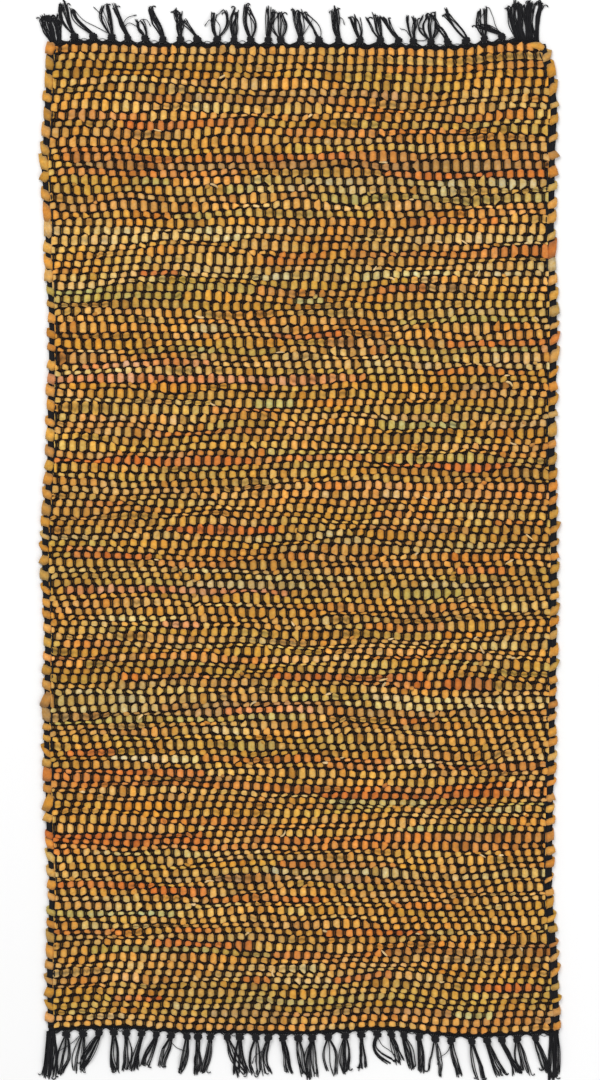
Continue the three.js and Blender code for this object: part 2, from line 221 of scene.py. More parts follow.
# Single strands that stray from one tassel to the next, as points (x, way out from the heading)
STRAYS = {
    "top": [
        [(-263, 8), (-280, 17), (-297, 26), (-310, 41)], [(-241, 8), (-242, 21), (-236, 30), (-224, 34)],
        [(-212, 5), (-216, 13), (-223, 19), (-234, 24), (-241, 19)],
        [(-212, 5), (-221, 20), (-218, 28), (-210, 28), (-205, 20)],
        [(-261, 8), (-267, 24), (-272, 33), (-283, 44)],
        [(-258, 6), (-265, 27), (-270, 41), (-266, 47), (-261, 36), (-258, 17)],
        [(-114, 3), (-120, 20), (-124, 29), (-131, 21)], [(-112, 4), (-110, 20), (-116, 32), (-105, 44)],
        [(136, 19), (144, 17), (148, 11), (154, 4)],
        [(154, 4), (169, 4), (173, 9), (169, 17), (162, 22)],
        [(273, 6), (266, 19), (262, 32), (256, 43), (247, 30), (239, 18)],
        [(52, 5), (44, 18), (47, 30), (56, 33), (60, 24)],
        [(0, 4), (10, 20), (16, 31), (8, 38)],
    ],
    "bottom": [
        [(-300, 4), (-312, 15), (-323, 22), (-337, 30)],
        [(-176, 12), (-169, 19), (-161, 22), (-155, 24)],
        [(-44, 6), (-52, 20), (-62, 27), (-66, 38)],
        [(105, 6), (112, 18), (121, 24), (131, 33)],
        [(206, 6), (200, 19), (190, 26), (187, 36)],
    ],
}


def hashed(a, b):
    s = np.sin(a * 127.1 + b * 311.7) * 43758.5453
    return 2 * (s - np.floor(s)) - 1


def eased(t):
    return t * t * (3 - 2 * t)


def noise(u, seed):
    i = np.floor(u)
    low = hashed(i, seed)
    return low + (hashed(i + 1, seed) - low) * eased(u - i)


def noise2(u, v, seed):
    j = np.floor(v)
    low = noise(u, seed + j)
    return low + (noise(u, seed + j + 1) - low) * eased(v - j)


def ripples(kind, x, index):
    """Waves along x that each pick has for itself."""
    return kind["height"] * noise(x / kind["length"], kind["seed"] + index)


def waves(kind, x, index):
    """Waves along x that change slowly from pick to pick."""
    along = x / kind["length"] + kind.get("start", 0)
    return kind["height"] * noise2(along, index / kind["picks"], kind["seed"])


def from_table(places, values, place):
    places, values = np.array([places, values], float)
    place = np.clip(place, places[0], places[-1])
    i = np.clip(np.searchsorted(places, place, side="right") - 1, 0, len(places) - 2)
    t = (place - places[i]) / (places[i + 1] - places[i])
    return values[i] + (values[i + 1] - values[i]) * eased(t)


def plain_line(index):
    counts = np.cumsum([0] + [picks for picks, _ in PICK_BANDS])
    lengths = np.cumsum([0] + [length for _, length in PICK_BANDS])
    return FIELD_TOP - np.interp(index, counts, lengths)


def fade(index):
    """How far the waves show: 0 at the field's two end lines, and 1 from a few picks in."""
    from_end = np.minimum(index, PICKS - index)
    return eased(np.minimum(1, from_end / WAVE_FADE_PICKS))


def pick_line(index, x):
    """The line between pick index - 1 and pick index, at x."""
    top = from_table(END_LINES["top"]["x"], END_LINES["top"]["bow"], x)
    bottom = from_table(END_LINES["bottom"]["x"], END_LINES["bottom"]["bow"], x)
    top = top * np.maximum(0, 1 - index / BOW_FADE_PICKS)
    bottom = bottom * np.maximum(0, 1 - (PICKS - index) / BOW_FADE_PICKS)
    wave = waves(WAVE, x, index) + ripples(JITTER, x, index)
    return plain_line(index) + wave * fade(index) + top - bottom


def fine_line(index, x):
    """The same line with the finer unevenness that only the looks have."""
    fine = ripples(FINE_JITTER, x, index) + waves(FINE_PACKING, x, index)
    return pick_line(index, x) + fine * fade(index)


def side_line(y, side):
    wander = SIDE_LINES["left" if side < 0 else "right"]
    return side * (HALF_WIDTH + from_table(SIDE_LINES["y"], wander, y))


def thread_x(thread, y):
    """Where a warp thread, counted from the left, runs at y. A fraction lies between two threads."""
    left = side_line(y, -1) + SELVEDGE
    right = side_line(y, 1) - SELVEDGE
    even = left + (right - left) * (thread + 0.5) / THREADS
    across, along = even / THREAD_DRIFT["across"], y / THREAD_DRIFT["along"]
    return even + THREAD_DRIFT["reach"] * noise2(across, along, THREAD_DRIFT["seed"])


SHIFT = np.cumsum([step for picks, step in ZIGZAG for _ in range(picks)])
assert len(SHIFT) == PICKS


# Meshes from arrays
def make_object(name, points, quads, material, tris=None, colours=None, maps=None):
    """points in millimetres. colours are per point, and maps are per corner, quads first."""
    tris = np.zeros((0, 3), int) if tris is None else tris
    mesh = bpy.data.meshes.new(name)
    mesh.vertices.add(len(points))
    mesh.vertices.foreach_set("co", (np.asarray(points, float) * MM).ravel())
    loops = np.concatenate([quads.ravel(), tris.ravel()]).astype(np.int32)
    starts = np.concatenate([np.arange(len(quads)) * 4, len(quads) * 4 + np.arange(len(tris)) * 3])
    mesh.loops.add(len(loops))
    mesh.loops.foreach_set("vertex_index", loops)
    mesh.polygons.add(len(starts))
    mesh.polygons.foreach_set("loop_start", starts.astype(np.int32))
    mesh.polygons.foreach_set("use_smooth", np.ones(len(starts), bool))
    mesh.update(calc_edges=True)
    if colours is not None:
        layer = mesh.color_attributes.new("Leather", "FLOAT_COLOR", "POINT")
        rgba = np.concatenate([colours, np.ones((len(colours), 1))], 1)
        layer.data.foreach_set("color", rgba.ravel().astype(np.float32))
    for map_name, uv in (maps or {}).items():
        mesh.uv_layers.new(name=map_name).data.foreach_set("uv", uv.ravel().astype(np.float32))
    mesh.materials.append(material)
    piece = bpy.data.objects.new(name, mesh)
    bpy.context.scene.collection.objects.link(piece)
    return piece


def tube_faces(rings, sides, first=0):
    """Quads of one tube, and the fans that close its two ends, for points in rings from first on."""
    j, i = np.meshgrid(np.arange(rings - 1), np.arange(sides), indexing="ij")
    a = first + j * sides + i
    b = first + j * sides + (i + 1) % sides
    quads = np.stack([a, b, b + sides, a + sides], -1).reshape(-1, 4)
    fan = np.arange(1, sides - 1)
    end = first + (rings - 1) * sides
    start_cap = np.stack([np.full(sides - 2, first), first + fan + 1, first + fan], -1)
    end_cap = np.stack([np.full(sides - 2, end), end + fan, end + fan + 1], -1)
    return quads, np.concatenate([start_cap, end_cap])


class Heap:
    """Many tubes that become one mesh."""

    def __init__(self):
        self.points, self.quads, self.tris, self.maps, self.colours = [], [], [], [], []
        self.tri_maps = []
        self.count = 0

    def add(self, rings, colours=None):
        """rings: an array of (rings, sides, 3), each ring turning clockwise seen along the tube."""
        n, sides = rings.shape[:2]
        quads, tris = tube_faces(n, sides, self.count)
        along = np.concatenate([[0], np.cumsum(np.linalg.norm(np.diff(rings.mean(1), axis=0), axis=1))])
        j, i = np.meshgrid(np.arange(n - 1), np.arange(sides), indexing="ij")
        u = np.stack([along[j], along[j], along[j + 1], along[j + 1]], -1)
        v = np.stack([i, i + 1, i + 1, i], -1) / sides
        self.maps.append(np.stack([u / TWIST_LENGTH, v], -1).reshape(-1, 2))
        self.tri_maps.append(np.zeros((len(tris) * 3, 2)))
        self.points.append(rings.reshape(-1, 3))
        self.quads.append(quads)
        self.tris.append(tris)
        if colours is not None:
            self.colours.append(colours.reshape(-1, 3))
        self.count += n * sides

    def make(self, name, material):
        return make_object(
            name,
            np.concatenate(self.points),
            np.concatenate(self.quads),
            material,
            tris=np.concatenate(self.tris),
            colours=np.concatenate(self.colours) if self.colours else None,
            maps={"Twist": np.concatenate(self.maps + self.tri_maps)},
        )


def unit(vectors):
    return vectors / np.maximum(np.linalg.norm(vectors, axis=1, keepdims=True), 1e-9)


def round_rings(path, radius, sides, up=(0, 0, 1)):
    """Rings of a round tube along a path. radius may differ from point to point."""
    path = np.asarray(path, float)
    tangent = unit(np.gradient(path, axis=0))
    across = unit(np.cross(tangent, up))
    over = np.cross(across, tangent)
    angle = TURN * (np.arange(sides) + 0.5) / sides
    radius = np.broadcast_to(radius, len(path))[:, None, None]
    sideways = np.cos(angle)[None, :, None] * across[:, None]
    upwards = np.sin(angle)[None, :, None] * over[:, None]
    return path[:, None] + radius * (sideways - upwards)


def strip_rings(path, half_width, half_thick, across):
    """Rings of a flattened strip along a path, whose width lies along one direction."""
    path = np.asarray(path, float)
    tangent = unit(np.gradient(path, axis=0))
    across = np.broadcast_to(np.asarray(across, float), path.shape)
    over = unit(np.cross(across, tangent))
    wide = np.broadcast_to(half_width, len(path))[:, None, None]
    thick = np.broadcast_to(half_thick, len(path))[:, None, None]
    sideways = wide * SECTION_Y[None, :, None] * across[:, None]
    return path[:, None] + sideways + thick * SECTION_Z[None, :, None] * over[:, None]


# Colours, as sRGB, with how common each is among the strips
def linear(colour):
    c = np.asarray(colour, float) / 255
    return np.where(c <= 0.04045, c / 12.92, ((c + 0.055) / 1.055) ** 2.4)


LEATHERS = {
    "ochre": ((214, 161, 76), 0.40),
    "honey": ((206, 157, 66), 0.22),
    "amber": ((219, 161, 80), 0.20),
    "orange": ((219, 144, 64), 0.07),
    "rust": ((215, 128, 52), 0.01),
    "olive": ((200, 168, 82), 0.03),
    "straw": ((218, 182, 110), 0.02),
    "tan": ((196, 146, 80), 0.05),
    "salmon": ((222, 150, 90), 0.0),
    "pale": ((206, 190, 120), 0.0),
}
SAME_AGAIN = 0.35  # how often the next strip is of the same leather
# Drifts of hue and of depth along a strip, and zones where some picks are lighter or darker together
WARM = {"height": 1, "length": 48, "seed": 900}
DEEP = {"height": 1, "length": 34, "seed": 1300}
ZONE = {"height": 0.13, "length": 80, "picks": 4, "seed": 1700}
# Strips that stand out, placed one by one: the pick, where it begins and ends, and its leather
MARKED_STRIPS = [
    (0, -350, 350, "amber"), (0, 270, 350, "orange"), (1, -350, 350, "ochre"),
    (2, 280, 340, "orange"), (5, 130, 350, "ochre"), (6, 60, 350, "ochre"),
    (7, 56, 147, "orange"), (8, -338, -205, "orange"), (8, 202, 321, "orange"),
    (9, -237, -110, "rust"), (9, -110, -60, "orange"), (10, -26, 230, "orange"),
    (12, -328, -232, "orange"), (13, -40, 56, "rust"), (13, 56, 321, "orange"),
    (15, -329, -81, "orange"), (15, 106, 335, "rust"), (16, -350, -240, "honey"),
    (16, -80, 348, "straw"), (17, -350, -100, "honey"), (17, -60, 348, "straw"),
    (20, -173, 102, "olive"), (21, 147, 262, "orange"), (21, 265, 350, "ochre"),
    (22, 30, 350, "ochre"), (23, 74, 348, "straw"), (24, 275, 350, "straw"),
    (25, -36, 33, "orange"), (25, 147, 239, "orange"), (26, -49, 18, "orange"),
    (26, 18, 350, "ochre"), (28, -223, -173, "rust"), (30, 102, 166, "rust"),
    (31, -8, 33, "pale"), (34, 138, 331, "olive"), (36, -45, 56, "rust"),
    (37, 202, 345, "rust"), (38, -242, -36, "olive"), (38, 120, 321, "olive"),
    (40, -301, -118, "salmon"), (41, 184, 303, "orange"), (42, -338, 83, "salmon"),
    (43, 221, 285, "tan"), (44, -296, 147, "honey"), (45, -72, -4, "pale"),
    (46, -127, -36, "orange"), (48, -127, -22, "olive"), (48, 102, 230, "olive"),
    (49, -200, -72, "orange"), (52, -45, 102, "olive"), (53, -338, -63, "rust"),
    (53, -63, 102, "orange"), (53, 120, 239, "olive"), (54, 102, 294, "rust"),
    (59, -292, -237, "orange"), (61, 102, 175, "orange"), (62, 262, 331, "orange"),
    (63, -182, -36, "rust"), (66, -328, -264, "orange"), (67, -315, -200, "rust"),
    (68, -196, -81, "orange"), (69, 211, 285, "orange"), (70, -62, 75, "straw"),
    (71, -173, 10, "straw"), (71, 166, 253, "straw"), (72, -328, -17, "salmon"),
    (72, 120, 221, "olive"), (74, -127, -77, "straw"), (76, -292, -150, "straw"),
    (77, -191, -141, "salmon"), (77, 83, 193, "orange"), (80, -330, -250, "orange"),
    (82, -109, -63, "orange"), (82, 102, 253, "orange"), (82, -328, -255, "orange"),
    (85, -246, -118, "orange"), (85, -45, 147, "rust"), (86, 193, 257, "rust"),
    (86, 84, 175, "orange"), (87, -338, -127, "straw"), (88, 100, 330, "straw"),
    (88, -338, -100, "straw"), (89, -338, -200, "straw"), (89, 50, 330, "straw"),
    (90, -113, 24, "salmon"), (91, 129, 184, "orange"), (94, -296, -160, "honey"),
    (95, -109, -36, "olive"), (96, -328, -260, "rust"), (97, -136, -26, "orange"),
    (97, -26, 130, "orange"), (98, 28, 120, "orange"), (98, 184, 221, "orange"),
    (98, 225, 331, "orange"), (99, -345, -130, "rust"), (102, 24, 303, "rust"),
    (103, 38, 166, "pale"), (104, 38, 166, "olive"), (104, 266, 331, "olive"),
    (105, 225, 298, "pale"), (106, -191, -63, "orange"), (109, -319, -123, "rust"),
    (109, -72, 129, "orange"), (111, -301, -36, "straw"), (113, -36, 129, "orange"),
    (116, -329, -205, "rust"), (117, -205, -127, "rust"), (118, -127, 24, "orange"),
    (119, 120, 202, "orange"), (120, -338, -173, "pale"), (122, -301, -205, "straw"),
    (123, -338, -246, "orange"), (123, -173, -109, "orange"), (125, -205, -63, "rust"),
    (126, -36, 111, "orange"), (128, -81, 38, "straw"), (130, -81, -36, "rust"),
    (130, 38, 129, "rust"), (131, 230, 326, "rust"), (133, -260, -191, "rust"),
    (134, -178, -36, "straw"), (135, 211, 266, "pale"), (137, -350, 350, "amber"),
]


def strip_colours():
    """Each pick's strips, as (start, end, colour). The marked ones come last and cover the others."""
    rng = np.random.default_rng(SEED)
    names = list(LEATHERS)
    weights = np.array([LEATHERS[n][1] for n in names])
    weights /= weights.sum()
    left_over, colour = 0.0, None
    rows = []
    for pick in range(PICKS):
        used, pieces = 0.0, []
        while used < 2 * HALF_WIDTH:
            if left_over <= 0:
                left_over = rng.uniform(110, 620)
                if colour is None or rng.random() > SAME_AGAIN:
                    name = names[rng.choice(len(names), p=weights)]
                    base = linear(LEATHERS[name][0])
                pale, yellow = np.clip(rng.normal(0, 1, 2), -2, 2)
                hue = np.exp([0, 0.035 * yellow + 0.05 * pale, 0.05 * yellow + 0.2 * pale])
                colour = base * rng.uniform(0.86, 1.12) * hue
            step = min(left_over, 2 * HALF_WIDTH - used)
            pieces.append((used, used + step, colour))
            used += step
            left_over -= step
        if pick % 2 == 0:
            spans = [(HALF_WIDTH - b, HALF_WIDTH - a, c) for a, b, c in reversed(pieces)]
        else:
            spans = [(a - HALF_WIDTH, b - HALF_WIDTH, c) for a, b, c in pieces]
        rows.append(spans)
    for pick, start, end, name in MARKED_STRIPS:
        rows[pick] = rows[pick] + [(start, end, linear(LEATHERS[name][0]) * rng.uniform(0.88, 1.04))]
    return rows


STRIPS = strip_colours()


def colour_at(pick, x):
    """The leather's colour along a pick, for an array of x."""
    out = np.zeros((len(x), 3)) + linear(LEATHERS["ochre"][0])
    for start, end, colour in STRIPS[pick]:
        out[(x >= start) & (x <= end)] = colour
    warm = ripples(WARM, x, pick)
    deep = ripples(DEEP, x, pick)
    drift = np.stack([0.03 * warm, -0.1 * warm - 0.08 * deep, -0.2 * warm - 0.42 * deep], -1)
    return out * np.exp(drift + waves(ZONE, x, pick)[:, None] * [0.85, 1.0, 1.3])


# The leather picks
def pick_rings(pick):
    """One pick's rings from left to right, and the float that each belongs to."""
    shift = SHIFT[pick]
    first = shift % PITCH_THREADS - 6
    floats = np.arange(THREADS // PITCH_THREADS + 3)
    places = np.array([r[0] for r in RINGS])
    # A gap's middle lies halfway between the two threads that pass over the leather
    thread = (first + 0.5 + PITCH_THREADS * floats[:, None] + places[None]).ravel()
    kind = np.tile(np.arange(len(RINGS)), len(floats))
    bead = np.repeat(floats, len(RINGS))
    keep = (thread > -0.9) & (thread < THREADS - 0.1)
    return thread[keep], kind[keep], bead[keep]


def rare(rng, count, share, low, high):
    """A number from low to high for a share of the beads, and 0 for the others."""
    return np.where(rng.random(count) < share, rng.uniform(low, high, count), 0)


def leather_row(pick):
    """One pick's strip, with its floats: its rings and their colours."""
    rng = np.random.default_rng(SEED * 1000 + pick)
    thread, kind, bead = pick_rings(pick)
    table = np.array(RINGS)
    y0 = plain_line(pick + 0.5)
    x = thread_x(thread, y0)
    upper = fine_line(pick, x)
    lower = fine_line(pick + 1, x)
    half = np.maximum((upper - lower) / 2 - LEATHER_GAP, 1.5)
    count = bead.max() + 1
    on_top = kind >= 2
    lean = LEAN[kind]

    def uneven(key):
        return rng.normal(0, UNEVEN[key], count)[bead]

    lift = uneven("lift") * on_top
    wide = 1 + uneven("wide")
    slide = uneven("slide") * on_top
    slant = uneven("slant") * lean
    taper = (uneven("taper") + rare(rng, count, *RARELY["tapered"])[bead]) * lean
    reach = rng.normal(0, UNEVEN["reach"], len(x)) * on_top
    # A few beads swell over the weft into the next pick
    middle = (kind >= 3) & (kind <= 5)
    swell_up = rare(rng, count, *RARELY["swollen"])[bead] * middle
    swell_down = rare(rng, count, *RARELY["swollen"])[bead] * middle
    # Folded stretches: the strip's middle sinks and its two edges stand up
    run = ripples(CREASE, x, pick) - CREASE["from"]
    crease = np.clip(run * CREASE["steepness"], 0, 1) * on_top * (rng.random(count)[bead] < CREASE["share"])
    z = table[kind, 1] + lift + 0.25 * noise(x / 45, 4000 + pick) * on_top
    z += 0.12 * (swell_up + swell_down)
    thick = table[kind, 2] * (1 + uneven("thick"))
    width = half * table[kind, 3] * np.where(on_top, wide * (1 + taper), 1)
    corner = np.interp(pick, CORNER["picks"], CORNER["narrower"])
    corner *= (1 + rng.normal(0, UNEVEN["corner"], len(x))) * ((kind == 2) | (kind == 6))
    width = np.maximum(width - corner, 0.4 * half)
    side_y = SECTION_Y * (1 + UNEVEN["section"] * rng.normal(0, 1, (len(x), SIDES)) * on_top[:, None])
    side_z = np.tile(SECTION_Z, (len(x), 1))
    side_z[:, 0] -= 1.3 * crease
    side_y[:, 0] += (0.12 + 0.15 * crease) * rng.normal(0, 1, len(x)) * on_top
    offset = -width[:, None] * side_y
    offset += swell_up[:, None] * np.clip(-SECTION_Y, 0, 1) - swell_down[:, None] * np.clip(SECTION_Y, 0, 1)
    # Seen along +X the ring turns clockwise
    rings = np.zeros((len(x), SIDES, 3))
    rings[:, :, 0] = (x + reach)[:, None] + FLARE * lean[:, None] * SECTION_Y
    rings[:, :, 1] = ((upper + lower) / 2 + slide + slant)[:, None] + offset
    rings[:, :, 2] = np.maximum(z[:, None] + thick[:, None] * side_z, 0.05)
    # The leather changes at a bead's gap, so each bead takes the colour at its middle
    bead_x = np.array([x[bead == b].mean() if (bead == b).any() else 0 for b in range(count)])
    # Painted shade, darkest in the gaps and at a float's ends, times a tone that differs from bead to bead
    shade = (1 + uneven("shade")) * table[kind, 4]
    warm = uneven("warm")
    dull = rare(rng, count, *RARELY["dull"])[bead]
    tone = np.stack([1 + 0.6 * warm - 0.7 * dull, 1 - warm - dull, 1 - 4 * warm - 1.5 * dull], -1)
    tone *= shade[:, None]
    # The painted shade in the gaps is warmer too, with less green and much less blue
    tone[kind < 2] *= GAP_SHADE_TONE
    # Painted shade across the strip: darker and redder at its edges and underside, paler at its near side
    colours = (colour_at(pick, bead_x)[bead] * tone)[:, None] * SECTION_SHADE_TONE[None]
    # Painted shade in the folds: the strip's middle is darker where it is creased
    colours[:, 0] *= (1 - 0.62 * crease)[:, None]
    return rings, np.clip(colours, 0, 1)


def shaded(colour, count, share):
    """One colour for all of a strip's rings, with a share of the section's painted shade."""
    return np.clip(colour * np.tile(1 + share * (SECTION_SHADE_TONE - 1), (count, 1, 1)), 0, 1)


def turns_over(pick, side):
    """True where a strip passes over the selvedge bundle at its turn, and not under it."""
    return (pick % 2 == 0) == (side < 0)


def side_turn(pick, side):
    """A strip's turn: over the selvedge in this pick, round the edge and under it in the one before."""
    rng = np.random.default_rng(SEED * 2000 + pick)
    y0 = plain_line(pick + 0.5)
    edge = side_line(y0, side)
    inner = edge - side * SELVEDGE
    upper, lower = fine_line(pick, inner), fine_line(pick + 1, inner)
    before = fine_line(max(pick - 1, 0), inner)
    here = (upper + lower) / 2
    other = (before + upper) / 2
    steps = np.array(TURN_PATH)
    out = steps[:, 0] + rng.uniform(*TURN_REACH) * np.clip(steps[:, 0] / SELVEDGE, 0, 1)
    wide = rng.uniform(*TURN_WIDTH[side])
    y = here + (other - here) * steps[:, 2] + rng.normal(0, 0.6) + 1.6 * max(0, wide - 1.2)
    path = np.stack([inner + side * out, y, steps[:, 1] + rng.normal(0, 0.12, len(steps))], -1)
    half = np.maximum((upper - lower) / 2, 3.2) * wide * (1 + rng.normal(0, 0.09, len(steps)))
    half[:2] *= [0.6, 0.75]
    half[-1] *= 0.7
    if pick == SECOND_TURN["pick"]:
        path[:, 1] -= SECOND_TURN["lower"]
        half *= SECOND_TURN["narrower"]
    lean = rng.normal(*TURN_LEAN)
    across = np.array([lean, 1.0, 0.0]) / math.hypot(lean, 1)
    if side < 0:
        across = -across
    rings = strip_rings(path, half, TURN_THICK * rng.uniform(*TURN_THICKER), across)
    rings[:, :, 2] = np.maximum(rings[:, :, 2], 0.05)
    colour = colour_at(pick, np.array([inner]))[0] * rng.uniform(*TURN_BRIGHTER)
    return rings, shaded(colour, len(steps), TURN_SHADING)


def leather_tail(rng, flap):
    """The free end of a strip where two strips meet: a short pale curl, or a wider flap of its colour."""
    pick = rng.integers(4, PICKS - 4)
    thread = rng.uniform(6, THREADS - 6)
    x = thread_x(thread, plain_line(pick + 0.5))
    y = fine_line(pick, x) + rng.normal(0, 0.8)
    t = np.linspace(0, 1, 6)
    length = rng.uniform(5, 9) if flap else rng.uniform(6, 13)
    heading = rng.choice([0, math.pi]) + rng.normal(0, 0.35)
    bend = rng.normal(0, 0.9)
    angle = heading + bend * t
    step = length / (len(t) - 1)
    dx = np.concatenate([[0], np.cumsum(np.cos(angle[1:]) * step)])
    dy = np.concatenate([[0], np.cumsum(np.sin(angle[1:]) * step)])
    z = 5.6 + 1.5 * np.sin(math.pi * np.clip(t * 1.15, 0, 1))
    path = np.stack([x + dx, y + dy, z], -1)
    across = unit(np.stack([-np.sin(angle), np.cos(angle), 0.35 * np.ones_like(t)], -1))
    wide = (rng.uniform(2, 3.2) if flap else rng.uniform(1.1, 1.9)) * np.array([0.7, 1, 1, 0.95, 0.75, 0.3])
    rings = strip_rings(path, wide, 0.45, across)
    if flap:
        colour = colour_at(pick, np.array([x]))[0] * rng.uniform(0.7, 1.05)
    else:
        colour = linear(TAIL_COLOUR) * rng.uniform(0.85, 1.15)
    return rings, shaded(colour, len(t), TAIL_SHADING)


def corner_strip():
    """The strip that folds over the far right corner."""
    points = np.array(CORNER_STRIP)
    way = unit(np.gradient(points[:, :2], axis=0))
    across = np.stack([-way[:, 1], way[:, 0], np.zeros(len(way))], -1)
    rings = strip_rings(points[:, :3], points[:, 3], TURN_THICK, across)
    return rings, shaded(linear(CORNER_COLOUR), len(points), TURN_SHADING)


# Materials
BUMP_DISTANCE = 0.0004
MATH = "ShaderNodeMath"
VECTOR_MATH = "ShaderNodeVectorMath"


def new_material(name):
    material = bpy.data.materials.new(name)
    material.use_nodes = True
    return material, material.node_tree, material.node_tree.nodes["Principled BSDF"]


def node_of(tree, kind, **values):
    node = tree.nodes.new(kind)
    for key, value in values.items():
        if key in node.inputs.keys():
            node.inputs[key].default_value = value
        else:
            setattr(node, key, value)
    return node


def texture(tree, **values):
    """Noise in the piece's own coordinates."""
    node = node_of(tree, "ShaderNodeTexNoise", **values)
    tree.links.new(node_of(tree, "ShaderNodeTexCoord").outputs["Object"], node.inputs["Vector"])
    return node.outputs["Fac"]


def ranged(tree, value, low, high, source=(0.0, 1.0)):
    """value, moved from its range in source to the range from low to high."""
    node = node_of(tree, "ShaderNodeMapRange")
    for name, number in zip(("From Min", "From Max", "To Min", "To Max"), (*source, low, high)):
        node.inputs[name].default_value = number
    tree.links.new(value, node.inputs["Value"])
    return node.outputs["Result"]


def worked_out(tree, kind, operation, *values):
    """The result of a math node. Each value is a constant or another node's output."""
    node = node_of(tree, kind, operation=operation)
    for socket, value in zip(node.inputs, values):
        if isinstance(value, bpy.types.NodeSocket):
            tree.links.new(value, socket)
        else:
            socket.default_value = value
    return node.outputs[0]


def add_bump(tree, shader, height, strength):
    bump = node_of(tree, "ShaderNodeBump", Strength=strength, Distance=BUMP_DISTANCE)
    tree.links.new(height, bump.inputs["Height"])
    tree.links.new(bump.outputs["Normal"], shader.inputs["Normal"])


def leather_material():
    material, tree, shader = new_material("suede_leather")
    link = tree.links.new
    shader.inputs["Sheen Weight"].default_value = 0.12
    shader.inputs["Sheen Roughness"].default_value = 0.6
    shader.inputs["Specular IOR Level"].default_value = 0.25
    base = node_of(tree, "ShaderNodeAttribute", attribute_name="Leather").outputs["Color"]
    mottle = texture(tree, Scale=160.0, Detail=4.0, Roughness=0.6)
    grain = texture(tree, Scale=1400.0, Detail=3.0, Roughness=0.65)
    spread = ranged(tree, mottle, 0.8, 1.16, source=(0.3, 0.7))
    fine = ranged(tree, grain, 0.9, 1.1, source=(0.3, 0.7))
    scaled = worked_out(tree, VECTOR_MATH, "MULTIPLY", base, worked_out(tree, MATH, "MULTIPLY", spread, fine))
    # Patches of deeper dye, and paler ones where the nap is rubbed
    dye = node_of(tree, "ShaderNodeValToRGB")
    dye.color_ramp.elements[0].position = 0.32
    dye.color_ramp.elements[0].color = (0.97, 0.84, 0.48, 1)
    dye.color_ramp.elements[1].position = 0.7
    dye.color_ramp.elements[1].color = (1.0, 1.1, 1.42, 1)
    link(texture(tree, Scale=260.0, Detail=5.0, Roughness=0.7), dye.inputs["Fac"])
    dyed = worked_out(tree, VECTOR_MATH, "MULTIPLY", scaled, dye.outputs["Color"])
    link(dyed, shader.inputs["Base Color"])
    link(ranged(tree, grain, 0.68, 0.9), shader.inputs["Roughness"])
    add_bump(tree, shader, grain, 0.35)
    return material


def cotton_material(name, grey, sheen):
    material, tree, shader = new_material(name)
    link = tree.links.new
    shader.inputs["Sheen Weight"].default_value = sheen
    shader.inputs["Roughness"].default_value = 0.9
    shader.inputs["Specular IOR Level"].default_value = 0.2
    # The twist of the yarn: stripes that wind round each thread, as bumps and as painted shade that
    # darkens the grooves between the plies, with paler crests
    parts = node_of(tree, "ShaderNodeSeparateXYZ")
    link(node_of(tree, "ShaderNodeUVMap", uv_map="Twist").outputs["UV"], parts.inputs["Vector"])
    turn = worked_out(tree, MATH, "ADD", parts.outputs["X"], parts.outputs["Y"])
    wave = worked_out(tree, MATH, "SINE", worked_out(tree, MATH, "MULTIPLY", turn, 2 * TURN))
    fuzz = texture(tree, Scale=2200.0, Detail=3.0)
    tone = ranged(tree, wave, 0.65, 1.25, source=(-1.0, 1.0))
    lint = ranged(tree, fuzz, 0.7, 1.6, source=(0.3, 0.75))
    scaled = worked_out(tree, VECTOR_MATH, "MULTIPLY", grey, worked_out(tree, MATH, "MULTIPLY", tone, lint))
    link(scaled, shader.inputs["Base Color"])
    add_bump(tree, shader, worked_out(tree, MATH, "MULTIPLY_ADD", wave, 0.6, fuzz), 0.5)
    return material


LEATHER = leather_material()
COTTON = cotton_material("black_cotton", (0.009, 0.009, 0.011), 0.08)
# In the field the cotton is a warmer, browner black, with less sheen
FIELD_COTTON = cotton_material("warm_field_cotton", (0.017, 0.0095, 0.006), 0.03)

# The woven field's pieces
LEATHER_BANDS = 4
TAILS = 50
FLAPS = 50
leather_pieces = []
for band in range(LEATHER_BANDS):
    start = round(PICKS * band / LEATHER_BANDS)
    stop = round(PICKS * (band + 1) / LEATHER_BANDS)
    heap = Heap()
    for pick in range(start, stop):
        heap.add(*leather_row(pick))
    leather_pieces.append(heap.make(f"leather_picks_{band + 1}", LEATHER))

turns = Heap()
for pick in range(PICKS):
    turns.add(*side_turn(pick, -1 if turns_over(pick, -1) else 1))
tail_rng = np.random.default_rng(SEED + 5)
for n in range(TAILS + FLAPS):
    turns.add(*leather_tail(tail_rng, n >= TAILS))
turns.add(*corner_strip())
leather_pieces.append(turns.make("leather_turns", LEATHER))


def warp_threads(start, stop):
    """Warp threads of the field, from just inside one heading to just inside the other."""
    heap = Heap()
    picks = np.arange(PICKS)
    for thread in range(start, stop):
        phase = (thread - SHIFT) % PITCH_THREADS
        over = phase >= 2
        y0 = plain_line(picks + 0.5)
        x = thread_x(thread, y0)
        # The two threads of a pair lean towards each other
        x = x + np.where(phase == 2, WARP_LEAN, -WARP_LEAN) * over
        y = (fine_line(picks, x) + fine_line(picks + 1, x)) / 2
        z = np.where(over, WARP_OVER, WARP_UNDER) + 0.2 * hashed(picks, thread) * over
        path = np.stack([x, y, z], -1)
        ends = [[x[i], fine_line(float(index), x[i]) + away * 0.6, HEADING_LEVEL]
                for away, index, i in ((1, 0, 0), (-1, PICKS, -1))]
        heap.add(round_rings(np.concatenate([ends[:1], path, ends[1:]]), WARP_RADIUS, 4))
    return heap


WARP_BANDS = 2
warp_pieces = []
for band in range(WARP_BANDS):
    start = THREADS * band // WARP_BANDS
    stop = THREADS * (band + 1) // WARP_BANDS
    warp_pieces.append(warp_threads(start, stop).make(f"warp_threads_{band + 1}", FIELD_COTTON))


